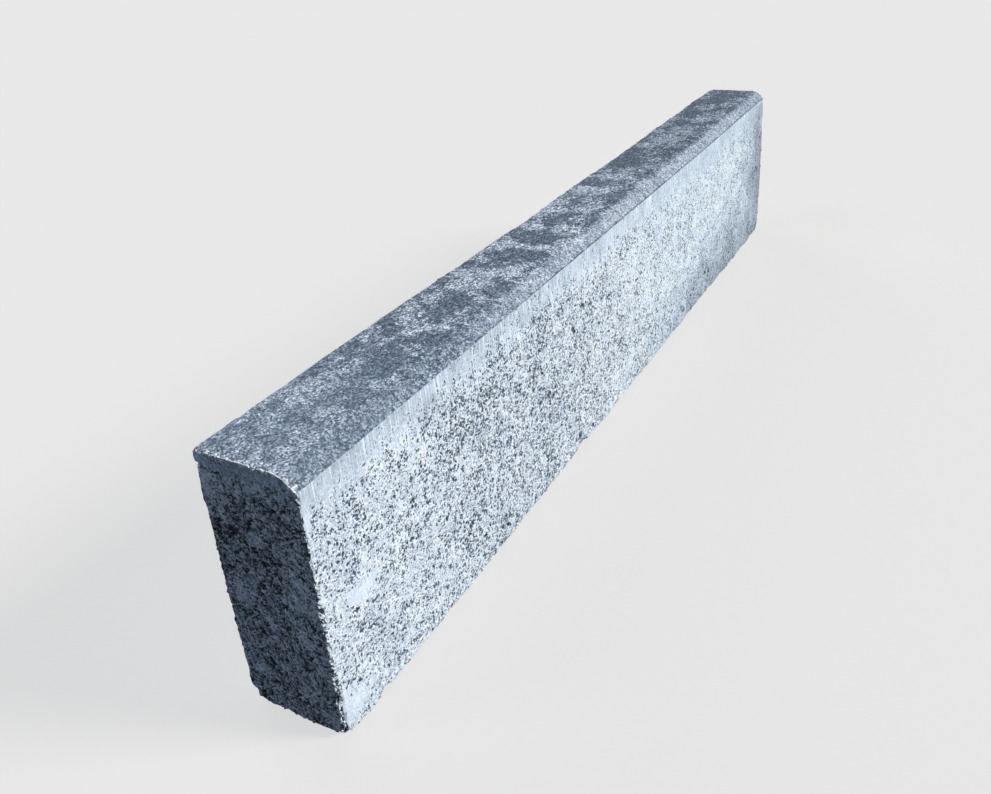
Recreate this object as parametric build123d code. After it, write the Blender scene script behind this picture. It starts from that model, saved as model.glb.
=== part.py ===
from build123d import *
import os

# Overall size. The kerb stands on its narrow side, with its length along X.
kerb_length = 1000.0
kerb_width = 80.0
kerb_height = 200.0

# Splay along the upper front edge, on the road side
splay_width = 12.0
splay_drop = 10.0
# Radius that eases the flat top into the splay
crest_radius = 16.0

# Rounded edge between the top and the back
back_radius = 5.0

front_y = -kerb_width / 2
back_y = kerb_width / 2

with BuildPart() as kerb_stone:
    # Cross-section, the same all along: front to -Y, bed on Z = 0
    with BuildSketch(Plane.YZ) as section:
        with BuildLine():
            Polyline(
                (front_y, 0),
                (back_y, 0),
                (back_y, kerb_height),
                (front_y + splay_width, kerb_height),
                (front_y, kerb_height - splay_drop),
                close=True,
            )
        make_face()
        top_corners = section.vertices().group_by(Axis.Y)[-1].sort_by(Axis.X)
        fillet(top_corners.first, crest_radius)
        fillet(top_corners.last, back_radius)
    extrude(amount=kerb_length / 2, both=True)

kerb_stone.part.label = "kerb_stone"

os.makedirs("parts", exist_ok=True)
export_step(kerb_stone.part, "parts/kerb_stone.step")
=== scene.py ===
import math

import bpy
import numpy as np
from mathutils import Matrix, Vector


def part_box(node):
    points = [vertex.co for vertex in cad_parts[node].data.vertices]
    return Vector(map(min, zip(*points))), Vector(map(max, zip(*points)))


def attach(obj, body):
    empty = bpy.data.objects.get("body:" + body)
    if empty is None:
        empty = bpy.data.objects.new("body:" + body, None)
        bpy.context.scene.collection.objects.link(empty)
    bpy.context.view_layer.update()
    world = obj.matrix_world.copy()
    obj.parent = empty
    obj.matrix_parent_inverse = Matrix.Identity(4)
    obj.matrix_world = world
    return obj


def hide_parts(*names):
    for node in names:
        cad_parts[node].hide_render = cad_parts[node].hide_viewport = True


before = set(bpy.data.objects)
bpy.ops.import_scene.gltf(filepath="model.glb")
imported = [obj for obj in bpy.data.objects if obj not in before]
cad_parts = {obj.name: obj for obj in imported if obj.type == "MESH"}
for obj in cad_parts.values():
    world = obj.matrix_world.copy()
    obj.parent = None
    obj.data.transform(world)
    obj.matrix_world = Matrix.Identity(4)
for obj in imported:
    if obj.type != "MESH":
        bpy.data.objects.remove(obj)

scene = bpy.context.scene
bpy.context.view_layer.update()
lowCorner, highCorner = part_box("kerb_stone")
mm = 0.001
low, high = lowCorner / mm, highCorner / mm


# small helpers for node trees, used by the relief and by the material alike

def plug(tree, socket, value):
    if isinstance(value, bpy.types.NodeSocket):
        tree.links.new(value, socket)
    else:
        socket.default_value = value


def addNode(tree, kind, inputs, **settings):
    node = tree.nodes.new(kind)
    for name, value in settings.items():
        setattr(node, name, value)
    for name, value in inputs.items():
        plug(tree, node.inputs[name], value)
    return node


def maths(tree, operation, *values):
    return addNode(tree, "ShaderNodeMath", dict(enumerate(values)), operation=operation).outputs[0]


def times(tree, first, second):
    return maths(tree, "MULTIPLY", first, second)


def vectorMaths(tree, operation, *values):
    node = addNode(tree, "ShaderNodeVectorMath", dict(enumerate(values)), operation=operation)
    return node.outputs["Value" if operation in ("LENGTH", "DOT_PRODUCT") else "Vector"]


def scaled(tree, vector, amount):
    node = addNode(tree, "ShaderNodeVectorMath", {0: vector, "Scale": amount}, operation="SCALE")
    return node.outputs["Vector"]


def ramp(tree, value, start, stop, first=0.0, last=1.0):  # smooth step from first to last
    node = addNode(tree, "ShaderNodeMapRange", {
        "Value": value, "From Min": start, "From Max": stop, "To Min": first, "To Max": last,
    }, interpolation_type="SMOOTHSTEP")
    return node.outputs["Result"]


def between(tree, share, first, second):
    return addNode(tree, "ShaderNodeMix", {0: share, 2: first, 3: second}).outputs[0]


def blend(tree, share, first, second):
    return addNode(tree, "ShaderNodeMix", {0: share, 6: first, 7: second}, data_type="RGBA").outputs[2]


def axes(tree, vector):
    return addNode(tree, "ShaderNodeSeparateXYZ", {"Vector": vector}).outputs


def stretched(tree, place, size, stretch, shift):
    small = vectorMaths(tree, "MULTIPLY", place, [1 / (size * s) for s in stretch])
    return vectorMaths(tree, "ADD", small, (shift, shift * 0.7, shift * 1.3))


def grain(tree, place, size, detail=2.0, roughness=0.5, stretch=(1, 1, 1), shift=0.0):
    # noise about zero with a wavelength of size, in mm, drawn out along an axis by stretch
    noise = addNode(tree, "ShaderNodeTexNoise", {
        "Vector": stretched(tree, place, size, stretch, shift),
        "Scale": 1.0, "Detail": detail, "Roughness": roughness,
    }).outputs["Fac"]
    return maths(tree, "SUBTRACT", noise, 0.5)


def crumbs(tree, place, size, stretch=(1, 1, 1), shift=0.0):
    # one random value about zero for each crumb of that size, in mm
    node = addNode(tree, "ShaderNodeTexVoronoi", {
        "Vector": stretched(tree, place, size, stretch, shift), "Scale": 1.0})
    return maths(tree, "SUBTRACT", axes(tree, node.outputs["Color"])[0], 0.5)


def pores(tree, place, size, share, stretch=(1, 1, 1), shift=0.0):
    # holes in a share of the crumbs of that size, in mm: how deep inside a hole each point is, in crumbs
    cell = addNode(tree, "ShaderNodeTexVoronoi", {
        "Vector": stretched(tree, place, size, stretch, shift), "Scale": 1.0}).outputs
    spare = maths(tree, "SUBTRACT", share, axes(tree, cell["Color"])[0])
    radius = ramp(tree, spare, 0.0, 0.35, -0.2, 0.6)
    return maths(tree, "SUBTRACT", radius, cell["Distance"])


def addUp(tree, start, *terms):  # start plus each (field, amount)
    total = start
    for field, amount in terms:
        total = maths(tree, "MULTIPLY_ADD", field, amount, total)
    return total


def most(tree, *fields):
    found = fields[0]
    for field in fields[1:]:
        found = maths(tree, "MAXIMUM", found, field)
    return found


def away(tree, place, places):
    # how far the nearest patch is, in its own radii: each is (centre, radii)
    nearest = None
    for centre, radii in places:
        off = vectorMaths(tree, "SUBTRACT", place, centre)
        off = vectorMaths(tree, "LENGTH", vectorMaths(tree, "MULTIPLY", off, [1 / r for r in radii]))
        nearest = off if nearest is None else maths(tree, "MINIMUM", nearest, off)
    return nearest


def inside(tree, distance, waver, inner=0.75, outer=1.15):
    # soft-edged patch, its rim moved by the waver noise
    return ramp(tree, maths(tree, "ADD", distance, waver), inner, outer, 1.0, 0.0)


def drawnCurve(tree, along, points):
    # a value along an axis, drawn as a curve through (place, value) points
    values = [value for spot, value in points]
    start, stop = points[0][0], points[-1][0]
    least, span = min(values), max(values) - min(values)
    share = addNode(tree, "ShaderNodeMapRange", {"Value": along, "From Min": start, "From Max": stop})
    node = addNode(tree, "ShaderNodeFloatCurve", {"Value": share.outputs["Result"]})
    curve = node.mapping.curves[0]
    curve.points[0].location = (0.0, (values[0] - least) / span)
    curve.points[1].location = (1.0, (values[-1] - least) / span)
    for spot, value in points[1:-1]:
        curve.points.new((spot - start) / (stop - start), (value - least) / span)
    node.mapping.update()
    return maths(tree, "MULTIPLY_ADD", node.outputs[0], span, least)


# the casting: places in mm, measured from the middle of the bed

kerb = {
    "splayWidth": 12.0,
    "splayDrop": 10.0,
    "crestRadius": 16.0,
    "backRadius": 3.0,      # the wear below rounds it further
    "bevelSteps": 6,
    "skinDepth": 10,        # even mesh before the relief, with cells of about 1 mm
    "skinScale": 0.99,
    "keepFaces": 194000,
    "fineArris": 1.4,       # how far from the arris and from the rim of the ends all points are kept
    "fineRim": 3.0,
    "smoothAngle": 38.0,
    "skinLoss": 0.2,
    "pitDepth": 1.3,
    "largeDepth": 1.6,
    "grit": 2.2,
    "gritSize": 3.6,
    "sway": 4.0,
    "swaySize": 80.0,
    # how far edges are worn back at places along them
    "bedFrontWear": [
        (-500, 3.0), (-480, 1.5), (-464, 1.5), (-457, 5.0), (-449, 1.5), (-400, 1.0), (-160, 1.0),
        (-150, 2.5), (-132, 6.0), (-120, 2.5), (0, 2.0), (180, 3.0), (300, 2.5), (440, 3.0), (500, 5.0),
    ],
    "backTopWear": [
        (-500, 1.0), (-458, 2.5), (-400, 0.5), (-300, 1.2), (-224, 3.4), (-122, 4.6), (-83, 6.0), (-41, 5.2),
        (5, 4.1), (107, 4.7), (230, 4.0), (300, 3.0), (378, 4.0), (464, 4.0), (500, 7.0),
    ],
    "nearFrontWear": [(0, 3.0), (55, 2.4), (80, 1.6), (100, 2.4), (125, 1.0), (150, 0.4), (200, 0.4)],
    "farFrontWear": [
        (0, 9.0), (8, 6.0), (20, 4.0), (45, 2.5), (70, 1.0), (130, 1.0), (150, 2.5), (175, 3.5), (200, 7.0),
    ],
    "farLift": 2.0,         # the top rises a little towards the far end
    "liftAlong": (250.0, 460.0),
    "liftUp": (140.0, 190.0),
    "burr": 0.5,            # height of the burr along the upper edges of the ends
    "eased": [              # corner, as the side it is on along each axis, and the radii it is worn to
        ((-1, 1, 1), (6.0, 1.5, 6.0)),
        ((1, -1, 1), (6.0, 4.0, 8.0)),
    ],
    "chips": [              # centre, radii, and how far the skin is pushed in
        ((-500, 40, 189.3), (6, 6, 3.0), (0.9, -1.7, 0)),
        ((-500, 40, 182), (5, 5, 11), (0.5, -0.9, 0)),
        ((-500, 40, 6), (5, 6, 9), (1.0, -3.0, 0)),
        ((-500, -33, 195), (4, 6, 4), (0.8, 0.6, -1.0)),
    ],
}
arrisZ = high.z - kerb["splayDrop"]
splaySlope = kerb["splayDrop"] / kerb["splayWidth"]

patches = {  # places in mm and radii of each kind of patch
    "smear": [              # pores closed by dragged paste
        ((-466, -40, 93), (15, 9, 6.5)),
        ((-487, -40, 20), (15, 9, 12)),
        ((-497, -40, 175), (4, 9, 12)),
        ((-500, -8, 184), (9, 8, 9)),
        ((-500, -21, 77), (8, 8, 8)),
        ((-500, -18, 104), (7, 8, 8)),
        ((-500, 23, 96), (9, 8, 6)),
        ((-500, 21, 31), (8, 9, 6)),
        ((-500, 4, 144), (8, 6, 6)),
        ((-500, 33, 178), (8, 5, 12)),
        ((-500, -29, 121), (8, 5, 8)),
    ],
    "coarse": [             # larger pits than elsewhere
        ((-260, -40, 80), (7, 9, 7)),
        ((10, -40, 45), (60, 9, 18)),
        ((220, -40, 12), (330, 9, 30)),
    ],
    "farShade": [              # painted shade: the front darker towards the far end and the bottom
        ((400, -40, -20), (420, 60, 115)),
        ((500, -40, 80), (110, 60, 170)),
    ],
    "darkStain": [
        ((-375, -8, 200), (30, 12, 20)),
        ((-272, 2, 200), (26, 14, 20)),
        ((-167, 3, 200), (17, 24, 20)),
        ((-122, 6, 200), (15, 20, 20)),
        ((-68, 6, 200), (22, 16, 20)),
        ((43, 20, 200), (12, 18, 20)),
        ((133, 16, 200), (48, 14, 20)),
        ((360, 13, 200), (24, 18, 20)),
        ((450, 10, 200), (50, 28, 20)),
    ],
    "paleStain": [
        ((-417, 18, 200), (28, 12, 20)),
        ((-262, 18, 200), (8, 6, 20)),
        ((-288, 12, 200), (9, 6, 20)),
        ((-236, 13, 200), (16, 9, 20)),
        ((-243, -2, 200), (10, 6, 20)),
        ((-212, 5, 200), (12, 10, 20)),
        ((-194, -14, 200), (16, 8, 20)),
        ((-143, 5, 200), (7, 18, 20)),
        ((-97, 20, 200), (10, 10, 20)),
        ((-48, 18, 200), (18, 12, 20)),
        ((27, 20, 200), (10, 14, 20)),
        ((67, 13, 200), (14, 12, 20)),
        ((200, 20, 200), (10, 10, 20)),
        ((233, 7, 200), (28, 16, 20)),
        ((328, -7, 200), (16, 14, 20)),
        ((382, 7, 200), (10, 10, 20)),
        ((407, -13, 200), (14, 8, 20)),
    ],
}

skin = {  # what the relief and the material share, with sizes in mm
    "frontBand": (27.0, 5.0),       # closed skin under the arris: how far down it begins and is full
    "endBand": (17.0, 8.0),         # and under the top of the ends
    "waverSize": 9.0,
    "streakSize": 1.9,
    "streakDraw": (1, 1, 22),
    "slant": 45.0,                  # degrees: pores are drawn out a little, down across the ends
    "wobble": 1.2,                  # breaks up the round shape of the pores
    "patchSize": 38.0,
    "clumpSize": 8.0,
    "pitShare": 0.27,               # crumbs with a pit, where nothing else bears on it
    "pitSize": 2.4,
    "creviceSize": 3.8,
    "largeSize": 9.0,
    "laceSize": 2.0,
    # how open the front is along the kerb: more and larger pores a quarter of the way along, few further on
    "openness": [
        (-500, 0.0), (-400, 0.2), (-270, 1.0), (-160, 0.8), (-60, 0.3), (60, -0.2), (180, -0.4), (500, -0.3),
    ],
}


def skinFields(tree, place, near):
    # where the skin is closed: on the top, in a band below it, and where paste was dragged over it
    x, y, z = axes(tree, place)[:3]
    end = ramp(tree, maths(tree, "ABSOLUTE", x), high.x - 0.5, high.x - 0.1)
    notEnd = maths(tree, "SUBTRACT", 1.0, end)
    overFront = ramp(tree, z, arrisZ, arrisZ + 0.5)
    overBack = ramp(tree, z, high.z - 4.0, high.z - 1.0)
    top = times(tree, between(tree, ramp(tree, y, 10.0, 30.0), overFront, overBack), notEnd)

    waver = grain(tree, place, skin["waverSize"], 3.0, 0.6)
    streak = grain(tree, place, skin["streakSize"], 2.0, 0.6, skin["streakDraw"], shift=2.9)
    begins, full = skin["frontBand"]
    band = ramp(tree, addUp(tree, z, (waver, 50.0), (streak, 110.0)), arrisZ - begins, arrisZ - full)
    begins, full = skin["endBand"]
    endBand = ramp(tree, addUp(tree, z, (waver, 45.0)), high.z - begins, high.z - full)
    band = between(tree, end, band, endBand)
    rim = times(tree, waver, 3.0)
    smear = times(tree, inside(tree, near["smear"], rim), addUp(tree, 1.0, (end, -0.5)))
    coarse = inside(tree, near["coarse"], rim, 0.5, 1.1)
    return {"x": x, "y": y, "z": z, "end": end, "notEnd": notEnd, "top": top, "band": band, "waver": waver,
            "streak": streak, "coarse": coarse, "closed": most(tree, band, smear, top)}


def pitFields(tree, place, fields):
    # pits on the long sides, crevices between the grains on the ends, and a few large holes
    end, closed, coarse = fields["end"], fields["closed"], fields["coarse"]
    slanted = addNode(tree, "ShaderNodeVectorRotate", {
        "Vector": place, "Angle": math.radians(skin["slant"])}, rotation_type="X_AXIS").outputs[0]
    wobble = addNode(tree, "ShaderNodeTexNoise", {
        "Vector": scaled(tree, slanted, 0.8), "Scale": 1.0, "Detail": 1.0}).outputs["Color"]
    wobble = vectorMaths(tree, "SUBTRACT", wobble, (0.5, 0.5, 0.5))
    broken = vectorMaths(tree, "MULTIPLY_ADD", wobble, [skin["wobble"]] * 3, slanted)
    openness = times(tree, drawnCurve(tree, fields["x"], skin["openness"]), fields["notEnd"])
    patchy = grain(tree, place, skin["patchSize"], 2.0, 0.5, shift=3.1)
    clumps = grain(tree, slanted, skin["clumpSize"], 3.0, 0.6, (1, 1, 1.3), shift=5.7)
    lines = ramp(tree, fields["streak"], 0.09, 0.15)    # thin lines that the mould drew over the pores

    share = addUp(tree, skin["pitShare"], (patchy, 0.5), (clumps, 0.5), (closed, -0.5), (openness, 0.13),
                  (coarse, 0.12), (lines, -0.2), (end, 0.06))
    dots = ramp(tree, pores(tree, broken, skin["pitSize"], share, (1.1, 1, 1.4), 0.4), 0.0, 0.16)
    need = addUp(tree, 0.10, (patchy, -0.2), (clumps, -0.25), (closed, 0.15))
    creviceNoise = grain(tree, slanted, skin["creviceSize"], 4.0, 0.7, (1.2, 1, 1.8))
    crevices = ramp(tree, creviceNoise, need, maths(tree, "ADD", need, 0.03))
    plates = ramp(tree, creviceNoise, maths(tree, "ADD", need, -0.08), need, 1.0, 0.0)
    pits = most(tree, dots, times(tree, crevices, end))
    need = addUp(tree, 0.155, (end, -0.02), (closed, 0.15), (coarse, -0.05), (openness, -0.015))
    largeNoise = grain(tree, slanted, skin["largeSize"], 4.0, 0.65, (1, 1, 1.4), shift=8.4)
    large = ramp(tree, largeNoise, need, maths(tree, "ADD", need, 0.04))
    return {"slanted": slanted, "broken": broken, "openness": openness, "patchy": patchy, "clumps": clumps,
            "lines": lines, "plates": plates, "pits": pits, "large": large}


def burrField(tree, place, fields):
    # broken burr along the upper edges of the ends
    roof = addUp(tree, arrisZ - low.y * splaySlope, (fields["y"], splaySlope))
    roof = maths(tree, "MINIMUM", roof, high.z)
    lace = grain(tree, place, skin["laceSize"], 2.0, 0.6, shift=4.7)
    fromEnd = maths(tree, "ABSOLUTE", fields["x"])
    off = addUp(tree, high.x, (fromEnd, -1.0), (roof, 1.0), (fields["z"], -1.0), (lace, -24.0))
    return ramp(tree, off, 0.8, 1.8, 1.0, 0.0)


def castFields(tree, place, near):
    # the relief and the material both read these
    fields = skinFields(tree, place, near)
    fields.update(pitFields(tree, place, fields))
    fields["burr"] = burrField(tree, place, fields)
    return fields


def roundedCorner(tree, place, corner, radii):
    # how far a corner is pulled in, to lie on a ball with those radii
    tip = Vector(high[i] if side > 0 else low[i] for i, side in enumerate(corner))
    middle = tip - Vector(side * r for side, r in zip(corner, radii))
    outwards = [side / r for side, r in zip(corner, radii)]
    off = vectorMaths(tree, "MULTIPLY", vectorMaths(tree, "SUBTRACT", place, middle), outwards)
    off = vectorMaths(tree, "MAXIMUM", off, (0, 0, 0))
    reach = maths(tree, "MAXIMUM", vectorMaths(tree, "LENGTH", off), 0.01)
    over = maths(tree, "DIVIDE", maths(tree, "MAXIMUM", maths(tree, "SUBTRACT", reach, 1.0), 0.0), reach)
    fade = ramp(tree, away(tree, place, [(tip, [max(radii)] * 3)]), 0.9, 1.6, 1.0, 0.0)
    back = vectorMaths(tree, "MULTIPLY", off, [-side * r for side, r in zip(corner, radii)])
    return scaled(tree, back, times(tree, over, fade))


def edgeWear(tree, place, fields):
    # moves the arrises in, each by its own worn depth, broken up by noise
    x, y, z = fields["x"], fields["y"], fields["z"]
    walls = {  # distance from each face, and the way in from it
        "near": (maths(tree, "SUBTRACT", x, low.x), (1, 0, 0)),
        "far": (maths(tree, "SUBTRACT", high.x, x), (-1, 0, 0)),
        "front": (maths(tree, "SUBTRACT", y, low.y), (0, 1, 0)),
        "back": (maths(tree, "SUBTRACT", high.y, y), (0, -1, 0)),
        "bed": (maths(tree, "SUBTRACT", z, low.z), (0, 0, 1)),
        "top": (maths(tree, "SUBTRACT", high.z, z), (0, 0, -1)),
    }
    ragged = grain(tree, place, 7.0, 4.0, 0.65, shift=1.7)
    jagged = grain(tree, place, 24.0, 4.0, 0.7, shift=6.2)
    frayed = grain(tree, place, 2.6, 2.0, 0.6, shift=7.4)
    worn = {  # worn depth of each edge or corner, and how ragged and frayed it is
        ("bed", "front"): (drawnCurve(tree, x, kerb["bedFrontWear"]), 10.0, 6.0),
        ("bed", "back"): (3.0, 12.0, 7.0),
        ("bed", "near"): (2.5, 10.0, 5.0),
        ("bed", "far"): (3.0, 12.0, 7.0),
        ("near", "front"): (drawnCurve(tree, z, kerb["nearFrontWear"]), 8.0, 7.0),
        ("near", "back"): (0.9, 4.0, 4.0),
        ("far", "front"): (drawnCurve(tree, z, kerb["farFrontWear"]), 8.0, 5.0),
        ("far", "back"): (1.8, 8.0, 5.0),
        ("near", "top"): (0.3, 5.0, 20.0),
        ("far", "top"): (1.5, 6.0, 5.0),
        ("back", "top"): (drawnCurve(tree, x, kerb["backTopWear"]), 5.0, 3.0),
        ("near", "back", "bed"): (9.0, 16.0, 9.0),
        ("near", "front", "bed"): (9.0, 12.0, 7.0),
        ("far", "front", "bed"): (14.0, 12.0, 7.0),
        ("far", "back", "bed"): (8.0, 12.0, 7.0),
        ("far", "back", "top"): (10.0, 8.0, 5.0),
    }
    steps = []
    for names, (depth, rough, fray) in worn.items():
        reach = addUp(tree, depth, (ragged, rough), (jagged, rough * 0.7), (frayed, fray))
        gone = walls[names[0]][0]
        for name in names[1:]:
            gone = maths(tree, "ADD", gone, walls[name][0])
        short = maths(tree, "MAXIMUM", maths(tree, "SUBTRACT", reach, gone), 0.0)
        way = sum((Vector(walls[name][1]) for name in names), Vector()) / len(names)
        steps.append(scaled(tree, tuple(way), short))
    for corner, radii in kerb["eased"]:
        steps.append(roundedCorner(tree, place, corner, radii))
    waver = times(tree, fields["waver"], 2.0)
    for centre, radii, push in kerb["chips"]:
        chip = inside(tree, away(tree, place, [(centre, radii)]), waver, 0.4, 1.0)
        steps.append(scaled(tree, push, chip))
    moved = steps[0]
    for step in steps[1:]:
        moved = vectorMaths(tree, "ADD", moved, step)
    return moved


def buildRelief():
    tree = bpy.data.node_groups.new("castRelief", "GeometryNodeTree")
    tree.interface.new_socket("Geometry", in_out="INPUT", socket_type="NodeSocketGeometry")
    tree.interface.new_socket("Geometry", in_out="OUTPUT", socket_type="NodeSocketGeometry")
    start = tree.nodes.new("NodeGroupInput").outputs[0]
    position = tree.nodes.new("GeometryNodeInputPosition").outputs[0]
    normal = tree.nodes.new("GeometryNodeInputNormal").outputs[0]
    place = scaled(tree, position, 1 / mm)

    # the material reads these from the mesh
    kept = addNode(tree, "GeometryNodeStoreNamedAttribute", {
        "Geometry": start, "Name": "castPlace", "Value": place,
    }, data_type="FLOAT_VECTOR", domain="POINT")
    near = {}
    for name, places in patches.items():
        near[name] = away(tree, place, places)
        kept = addNode(tree, "GeometryNodeStoreNamedAttribute", {
            "Geometry": kept.outputs[0], "Name": name, "Value": near[name],
        }, data_type="FLOAT", domain="POINT")

    fields = castFields(tree, place, near)
    grit = grain(tree, place, kerb["gritSize"], 2.0, 0.6, shift=2.3)
    grit = times(tree, grit, addUp(tree, 1.0, (fields["closed"], -0.8)))
    sway = grain(tree, place, kerb["swaySize"], 2.0, 0.5, shift=5.0)
    depth = addUp(tree, kerb["skinLoss"], (fields["pits"], kerb["pitDepth"]),
                  (fields["large"], kerb["largeDepth"]), (grit, kerb["grit"]), (sway, kerb["sway"]))
    shift = scaled(tree, normal, times(tree, depth, -1.0))
    shift = vectorMaths(tree, "ADD", shift, edgeWear(tree, place, fields))
    lift = times(tree, ramp(tree, fields["x"], *kerb["liftAlong"]), ramp(tree, fields["z"], *kerb["liftUp"]))
    shift = vectorMaths(tree, "ADD", shift, scaled(tree, (0, 0, kerb["farLift"]), lift))
    burr = scaled(tree, normal, times(tree, fields["burr"], kerb["burr"]))
    shift = vectorMaths(tree, "ADD", shift, burr)
    settled = vectorMaths(tree, "ADD", position, scaled(tree, shift, mm))
    settled = vectorMaths(tree, "MAXIMUM", settled, (-1, -1, 0))    # nothing below the floor
    moved = addNode(tree, "GeometryNodeSetPosition", {"Geometry": kept.outputs[0], "Position": settled})
    addNode(tree, "NodeGroupOutput", {0: moved.outputs[0]})
    return tree


def pickEdges(mesh, test):
    for edge in mesh.edges:
        a, b = (mesh.vertices[i].co / mm for i in edge.vertices)
        edge.select = test(a, b)


def castPlaces(mesh):  # where each point was before the relief moved it
    spot = np.empty(len(mesh.vertices) * 3, dtype=np.float32)
    mesh.attributes["castPlace"].data.foreach_get("vector", spot)
    return spot.reshape(-1, 3)


def keepFine(piece):
    # the arris and the upper edges of the ends keep all their points, so that they stay crisp
    x, y, z = castPlaces(piece.data).T
    roof = np.minimum(high.z, arrisZ + (y - low.y) * kerb["splayDrop"] / kerb["splayWidth"])
    onArris = (y - low.y < kerb["fineArris"]) & (abs(z - arrisZ) < kerb["fineArris"])
    onRim = (high.x - abs(x)) + (roof - z) < kerb["fineRim"]
    group = piece.vertex_groups.new(name="keptFine")
    group.add(np.flatnonzero(onArris | onRim).tolist(), 1.0, "REPLACE")
    print("kept fine,", int((onArris | onRim).sum()), "points")


def blockOut():
    bpy.ops.object.select_all(action="DESELECT")
    size = highCorner - lowCorner
    middle = (highCorner + lowCorner) / 2
    bpy.ops.mesh.primitive_cube_add(size=1, location=middle)
    piece = bpy.context.object
    piece.name = "kerbStone"
    piece.scale = size
    bpy.ops.object.transform_apply(location=True, rotation=True, scale=True)

    # splay along the upper front edge
    bpy.ops.object.mode_set(mode="EDIT")
    bpy.ops.mesh.select_all(action="SELECT")
    splay = Vector((0, -kerb["splayDrop"], kerb["splayWidth"])).normalized()
    foot = Vector((0, lowCorner.y, highCorner.z - kerb["splayDrop"] * mm))
    bpy.ops.mesh.bisect(plane_co=foot, plane_no=splay, use_fill=True, clear_outer=True)

    # ease the crest and the back edge of the top
    slope = math.atan2(kerb["splayDrop"], kerb["splayWidth"])
    eased = ((low.y + kerb["splayWidth"], kerb["crestRadius"] * math.tan(slope / 2)),
             (high.y, kerb["backRadius"]))
    for edgeY, width in eased:
        bpy.ops.mesh.select_all(action="DESELECT")
        bpy.ops.mesh.select_mode(type="EDGE")
        bpy.ops.object.mode_set(mode="OBJECT")
        pickEdges(piece.data, lambda a, b: all(
            abs(p.y - edgeY) < 0.01 and abs(p.z - high.z) < 0.01 for p in (a, b)))
        bpy.ops.object.mode_set(mode="EDIT")
        bpy.ops.mesh.bevel(offset=width * mm, segments=kerb["bevelSteps"], offset_type="OFFSET")
    bpy.ops.object.mode_set(mode="OBJECT")
    print("kerb blocked out,", len(piece.data.polygons), "faces")
    return piece


def castSkin(piece):
    remesh = piece.modifiers.new("evenSkin", "REMESH")
    remesh.mode = "SHARP"
    remesh.octree_depth = kerb["skinDepth"]
    remesh.scale = kerb["skinScale"]
    remesh.use_remove_disconnected = False
    bpy.ops.object.modifier_apply(modifier="evenSkin")
    print("even skin,", len(piece.data.polygons), "faces")

    relief = piece.modifiers.new("castRelief", "NODES")
    relief.node_group = buildRelief()
    bpy.ops.object.modifier_apply(modifier="castRelief")
    print("relief cast")

    keepFine(piece)
    thin = piece.modifiers.new("thin", "DECIMATE")
    thin.ratio = min(1.0, kerb["keepFaces"] / (2 * len(piece.data.polygons)))
    thin.use_collapse_triangulate = True
    thin.vertex_group = "keptFine"
    thin.invert_vertex_group = True
    bpy.ops.object.modifier_apply(modifier="thin")
    bpy.ops.object.shade_smooth_by_angle(angle=math.radians(kerb["smoothAngle"]))
    print("kerb thinned to", len(piece.data.polygons), "faces")


layout = {  # flat layout of the faces, in mm: where the strip of each one starts
    "front": (0, 0),
    "top": (0, 196),
    "back": (0, 296),
    "near": (0, 502),
    "far": (208, 502),
    "bed": (440, 502),
    "bedScale": 0.5,        # hidden, so half as fine
    "faceDepth": 0.6,       # a triangle is on a face if its middle is this near
    "margin": 4,
    "height": 592,
}


def layOut(piece):
    # strips side by side, so that the baked picture has few seams
    mesh = piece.data
    corners = np.empty(len(mesh.loops), dtype=np.int32)
    mesh.loops.foreach_get("vertex_index", corners)
    x, y, z = castPlaces(mesh)[corners].reshape(-1, 3, 3).transpose(2, 0, 1)  # triangles by corners
    midX, midY, midZ = x.mean(axis=1), y.mean(axis=1), z.mean(axis=1)
    along, across = x - low.x, y - low.y
    onTop = (midZ > arrisZ) & ((midY < high.y - 4) | (midZ > high.z - 2.5))
    strips = (  # which triangles, how they lie, their face and its scale. A later strip takes over.
        (midY < 0, along, z, "front", 1.0),
        (midY > 0, along, z, "back", 1.0),
        (onTop, along, across + (high.z - z), "top", 1.0),
        (midZ < layout["faceDepth"], along, across, "bed", layout["bedScale"]),
        (midX < low.x + layout["faceDepth"], z, across, "near", 1.0),
        (midX > high.x - layout["faceDepth"], z, across, "far", 1.0),
    )
    margin = layout["margin"]
    flat = np.zeros((len(midX), 3, 2), dtype=np.float32)
    for picked, right, up, face, scale in strips:
        startU, startV = layout[face]
        flat[picked, :, 0] = (startU + margin + right[picked] * scale) / (high.x - low.x + 2 * margin)
        flat[picked, :, 1] = (startV + margin + up[picked] * scale) / layout["height"]
    layer = mesh.uv_layers.new(name="OFBake")
    layer.data.foreach_set("uv", flat.ravel())
    print("bake layout set,", flat.min(), "to", flat.max())


kerbStone = blockOut()
castSkin(kerbStone)
layOut(kerbStone)


# concrete

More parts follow.
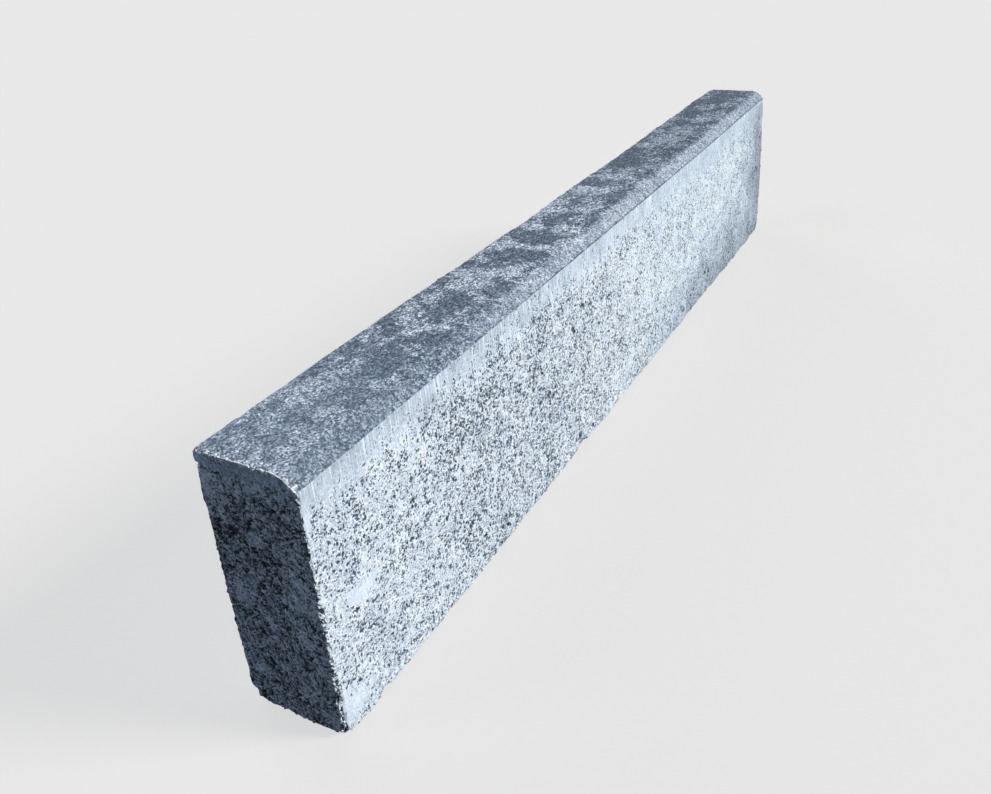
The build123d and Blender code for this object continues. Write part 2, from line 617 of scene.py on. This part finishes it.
concrete = {
    "paste": (0.69, 0.775, 0.89, 1),
    "coolPaste": (0.665, 0.775, 0.89, 1),   # under the arris and towards the far end
    "palest": (0.90, 0.93, 0.96),
    # painted shade: the dark colour that pits and pores are filled with
    "poreShade": (0.048, 0.083, 0.125),
    "burr": (0.70, 0.74, 0.78),
    "topDark": (0.215, 0.285, 0.38, 1),
    "topPale": (0.27, 0.295, 0.325, 1),
    "roughness": 0.92,
    "specular": 0.25,
    # sizes in mm
    "poreSizes": (1.2, 1.9),
    "poreDraw": (1.2, 1, 1.4),
    "grainSize": 1.3,
    "endGrainSize": 2.1,
    "cloudSize": 26.0,
    "stainSize": 22.0,
    "stainRimSize": 13.0,
    "fleckSize": 3.4,
    "topCrumbSize": 1.7,
    "topGritSize": 1.1,
    "strokeSize": 7.0,
    "strokeDraw": (1, 6, 6),
    "zones": {              # stretches along the kerb, in mm, over which a change sets in
        "farHalf": (-100.0, 100.0),
        "coolFront": (-100.0, 150.0),
        "paleFront": (-200.0, -60.0),
        "nearFront": (-440.0, -480.0),
        "paleBand": (-350.0, -100.0),
        "farStrip": (-50.0, 200.0),
        "nearTop": (-300.0, -430.0),
        "farTop": (20.0, 160.0),
        "paleSplay": (-330.0, -170.0),
        "farSplay": (360.0, 430.0),
    },
}


def toned(tree, colour, tone):
    # the colour made lighter or darker by a power of e, up to the palest paste
    changed = scaled(tree, colour, maths(tree, "EXPONENT", tone))
    return vectorMaths(tree, "MINIMUM", changed, concrete["palest"])


def kneed(tree, tone, slope, start):  # pale tones held back
    return maths(tree, "MINIMUM", tone, addUp(tree, start, (tone, slope)))


def grainFields(tree, place, fields, zone):
    # two sizes of fine pore between the grains, fewer where the skin is closed, and the grains themselves
    openShadedEnd = times(tree, fields["end"], addUp(tree, 1.0, (zone["farHalf"], -0.55)))   # far end less open, and with less painted shade than the near end
    share = addUp(tree, 0.54, (fields["patchy"], 0.6), (fields["clumps"], 1.1), (fields["closed"], -0.38),
                  (fields["openness"], 0.14), (fields["lines"], -0.25), (openShadedEnd, 0.15))
    small, wide = concrete["poreSizes"]
    draw = concrete["poreDraw"]
    smallPores = pores(tree, fields["broken"], small, share, draw, 4.4)
    widePores = pores(tree, fields["broken"], wide, maths(tree, "ADD", share, -0.1), draw, 1.9)
    fine = most(tree, ramp(tree, smallPores, 0.0, 0.22), ramp(tree, widePores, 0.0, 0.12))
    rim = ramp(tree, most(tree, smallPores, widePores), -0.2, -0.02)
    speck = grain(tree, fields["slanted"], concrete["grainSize"], 2.0, 0.6, (1.2, 1, 1.5), shift=9.1)
    crumb = crumbs(tree, place, concrete["grainSize"], (1.2, 1, 1), shift=3.6)
    return {"openShadedEnd": openShadedEnd, "fine": fine, "rim": rim, "speck": speck, "crumb": crumb,
            "endPlates": times(tree, fields["plates"], openShadedEnd)}


def sideColour(tree, place, near, fields, zone):
    # paste with paler and darker grains, clouds, and the streaks of the mould
    band, z, openShadedEnd = fields["band"], fields["z"], fields["openShadedEnd"]
    endGrain = crumbs(tree, fields["broken"], concrete["endGrainSize"], (1, 1, 1.7), shift=6.9)
    grains = times(tree, fields["speck"], addUp(tree, 1.3, (openShadedEnd, 0.1)))
    grains = addUp(tree, grains, (fields["crumb"], addUp(tree, 0.5, (openShadedEnd, 0.6))),
                   (times(tree, endGrain, openShadedEnd), 1.0))
    calm = addUp(tree, 1.0, (fields["closed"], -0.6))
    clouds = grain(tree, place, concrete["cloudSize"], 3.0, 0.55, shift=7.7)
    drawn = times(tree, fields["streak"], addUp(tree, 0.5, (band, 1.9)))
    drawn = times(tree, drawn, fields["notEnd"])
    # painted shade over the lower front towards the far end
    farShade = inside(tree, near["farShade"], times(tree, clouds, 0.5), 0.1, 1.2)
    underArris = times(tree, band, addUp(tree, -0.29, (zone["paleBand"], 0.05)))
    strip = times(tree, ramp(tree, z, 135.0, 165.0), ramp(tree, z, 180.0, 188.0, 1.0, 0.0))
    strip = times(tree, strip, zone["farStrip"])
    # the ends get painted shade: their tone is darker, most at the near end
    tone = addUp(tree, 0.0, (grains, calm), (clouds, 0.6), (drawn, 1.0), (fields["rim"], 0.1), (farShade, -0.75),
                 (strip, -0.1), (underArris, 1.0), (zone["paleFront"], 0.07), (zone["nearFront"], -0.04),
                 (openShadedEnd, -0.20), (fields["endPlates"], 0.20))
    cool = most(tree, times(tree, band, 0.7), zone["coolFront"])
    side = toned(tree, blend(tree, cool, concrete["paste"], concrete["coolPaste"]), tone)

    # painted shade in the hollows: pits and pores take the dark pore colour, darker still on the ends and
    # most at the near end
    hollow = most(tree, fields["pits"], fields["large"], fields["fine"])
    poreShade = scaled(tree, concrete["poreShade"], addUp(tree, 1.0, (openShadedEnd, -0.75)))
    return blend(tree, times(tree, hollow, 0.95), side, poreShade)


def topColour(tree, place, near, fields, zone):
    # dark and pale stains with broken edges, under fine specks
    nearTop, farTop, paleSplay = zone["nearTop"], zone["farTop"], zone["paleSplay"]
    waver = times(tree, grain(tree, place, concrete["stainRimSize"], 5.0, 0.7, shift=5.5), 5.0)
    dark = inside(tree, near["darkStain"], waver, 0.8, 1.1)
    light = inside(tree, near["paleStain"], waver, 0.8, 1.1)
    clouds = grain(tree, place, concrete["stainSize"], 8.0, 0.83, shift=6.6)
    stain = ramp(tree, addUp(tree, clouds, (light, 0.11), (dark, -0.11)), -0.05, 0.05, -1.0, 1.0)
    fleck = grain(tree, place, concrete["fleckSize"], 3.0, 0.7, (1.4, 1, 1), shift=2.2)
    speck = grain(tree, place, concrete["grainSize"], 2.0, 0.7, shift=3.3)
    crumb = crumbs(tree, place, concrete["topCrumbSize"], (1.3, 1, 1), shift=6.1)
    grit = crumbs(tree, place, concrete["topGritSize"], shift=8.3)
    specks = addUp(tree, 0.0, (speck, 1.8), (crumb, addUp(tree, 1.1, (nearTop, -0.4))),
                   (grit, addUp(tree, 2.3, (nearTop, -0.3))))
    flatTone = addUp(tree, -0.31, (specks, addUp(tree, 1.0, (stain, 0.25))),
                     (stain, addUp(tree, 0.62, (nearTop, -0.28), (farTop, -0.14))),
                     (fleck, addUp(tree, 2.3, (nearTop, -1.3))), (nearTop, 0.13), (farTop, -0.37))
    flatTone = kneed(tree, flatTone, 0.6, 0.10)

    # splay, paler from about a fifth of the way along, with strokes down it and a thin line of painted shade
    # along the arris
    strokes = grain(tree, place, concrete["strokeSize"], 5.0, 0.8, concrete["strokeDraw"], shift=1.1)
    arrisShadeLine = ramp(tree, addUp(tree, fields["y"], (fields["waver"], 1.5)), low.y + 1.7, low.y + 0.8)
    arrisShadeLine = times(tree, arrisShadeLine, paleSplay)
    splayTone = addUp(tree, -0.31, (specks, 0.75), (paleSplay, 0.58), (strokes, 2.7), (stain, 0.12),
                      (arrisShadeLine, -1.0), (farTop, -0.02), (zone["farSplay"], -0.15))
    splayTone = kneed(tree, splayTone, 0.6, 0.14)

    onSplay = times(tree, ramp(tree, fields["y"], -25.0, -31.0), fields["top"])
    tone = between(tree, onSplay, flatTone, splayTone)
    tint = blend(tree, ramp(tree, tone, -0.5, 0.8), concrete["topDark"], concrete["topPale"])
    return toned(tree, tint, tone)


def concreteMaterial():
    material = bpy.data.materials.new("pressedConcrete")
    material.use_nodes = True
    tree = material.node_tree
    shader = tree.nodes["Principled BSDF"]
    place = addNode(tree, "ShaderNodeAttribute", {}, attribute_name="castPlace").outputs["Vector"]
    near = {}
    for name in patches:
        near[name] = addNode(tree, "ShaderNodeAttribute", {}, attribute_name=name).outputs["Fac"]
    fields = castFields(tree, place, near)
    zone = {}
    for name, (start, stop) in concrete["zones"].items():
        zone[name] = ramp(tree, fields["x"], start, stop)
    fields.update(grainFields(tree, place, fields, zone))

    side = sideColour(tree, place, near, fields, zone)
    colour = blend(tree, fields["top"], side, topColour(tree, place, near, fields, zone))
    burr = toned(tree, concrete["burr"], addUp(tree, 0.0, (fields["speck"], 4.0), (fields["crumb"], 0.8)))
    colour = blend(tree, times(tree, fields["burr"], 0.9), colour, burr)
    plug(tree, shader.inputs["Base Color"], colour)
    shader.inputs["Roughness"].default_value = concrete["roughness"]
    shader.inputs["Specular IOR Level"].default_value = concrete["specular"]

    height = addUp(tree, 0.0, (fields["fine"], -0.35), (fields["speck"], 0.9), (fields["endPlates"], 0.4))
    height = times(tree, height, addUp(tree, 1.0, (fields["openShadedEnd"], 1.6)))
    strength = addUp(tree, 0.9, (fields["closed"], -0.6))
    bump = addNode(tree, "ShaderNodeBump", {"Height": height, "Strength": strength, "Distance": mm})
    plug(tree, shader.inputs["Normal"], bump.outputs["Normal"])
    return material


kerbStone.data.materials.clear()
kerbStone.data.materials.append(concreteMaterial())
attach(kerbStone, "root")
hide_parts("kerb_stone")
print("concrete applied")


# stage

stage = {
    "floorSize": 40.0,
    "floorColour": (0.173, 0.166, 0.158, 1),
    "floorBounce": (0.08, 0.085, 0.09, 1),
    "paleGlow": 0.645,
    "paleWorld": 0.807,
    "fill": (0.023, 0.033, 0.049, 1),
    # degrees round from the front towards the far end, degrees up, strength, softness in degrees, colour
    "lamps": {
        "keyLamp": (25.0, 30.0, 4.0, 18.0, (1, 1, 1)),
        "backLamp": (150.0, 22.0, 1.5, 40.0, (1, 1, 1)),
        "endLamp": (-140.0, 45.0, 0.72, 20.0, (0.55, 0.72, 1.0)),   # rakes over the near end from behind
    },
}


def isSeen(tree):
    rays = tree.nodes.new("ShaderNodeLightPath").outputs
    return most(tree, rays["Is Camera Ray"], rays["Is Glossy Ray"], rays["Is Transmission Ray"])


def buildStage():
    bpy.ops.object.select_all(action="DESELECT")
    bpy.ops.mesh.primitive_plane_add(size=stage["floorSize"], location=(0, 0, 0))
    floor = bpy.context.object
    floor.name = "paleFloor"
    material = bpy.data.materials.new("paleFloor")
    material.use_nodes = True
    tree = material.node_tree
    tree.nodes.remove(tree.nodes["Principled BSDF"])
    seen = isSeen(tree)
    diffuse = addNode(tree, "ShaderNodeBsdfDiffuse", {
        "Color": blend(tree, seen, stage["floorBounce"], stage["floorColour"])})
    glow = addNode(tree, "ShaderNodeEmission", {
        "Color": (1, 1, 1, 1), "Strength": times(tree, seen, stage["paleGlow"])})
    both = addNode(tree, "ShaderNodeAddShader", {0: diffuse.outputs[0], 1: glow.outputs[0]})
    plug(tree, tree.nodes["Material Output"].inputs["Surface"], both.outputs[0])
    floor.data.materials.append(material)

    world = bpy.data.worlds.new("paleRoom")
    scene.world = world
    world.use_nodes = True
    tree = world.node_tree
    pale = stage["paleWorld"]
    tint = blend(tree, isSeen(tree), stage["fill"], (pale, pale, pale, 1))
    plug(tree, tree.nodes["Background"].inputs["Color"], tint)


def addSun(name, turn, height, strength, soft, colour):
    bpy.ops.object.light_add(type="SUN", location=(0, 0, 2))
    lamp = bpy.context.object
    lamp.name = name
    turn, height = math.radians(turn), math.radians(height)
    level = math.cos(height)
    towards = Vector((math.sin(turn) * level, -math.cos(turn) * level, math.sin(height)))
    lamp.rotation_euler = towards.to_track_quat("Z", "Y").to_euler()
    lamp.data.energy = strength
    lamp.data.angle = math.radians(soft)
    lamp.data.color = colour


buildStage()
for lampName, settings in stage["lamps"].items():
    addSun(lampName, *settings)


# camera

view = {  # fitted to the straight edges of the kerb in the photo
    "place": (-0.79034, -0.35145, 0.47661),
    "turn": (64.6674, 4.4463, -60.7666),    # degrees
    "focal": 902.67,                        # pixels of the frame, like the middle
    "middle": (493.463, 323.261),
    "frame": (991, 794),
    "sensorWidth": 36.0,
}


def addCamera():
    bpy.ops.object.camera_add()
    camera = bpy.context.object
    camera.name = "photoCamera"
    camera.location = view["place"]
    camera.rotation_euler = [math.radians(angle) for angle in view["turn"]]
    width, height = view["frame"]
    middleX, middleY = view["middle"]
    lens = camera.data
    lens.sensor_fit = "HORIZONTAL"
    lens.sensor_width = view["sensorWidth"]
    lens.lens = view["focal"] * view["sensorWidth"] / width
    lens.shift_x = (width / 2 - middleX) / width
    lens.shift_y = (middleY - height / 2) / width
    lens.clip_start = 0.01
    scene.camera = camera


addCamera()
scene.view_settings.view_transform = "Standard"
print("stage and camera set")
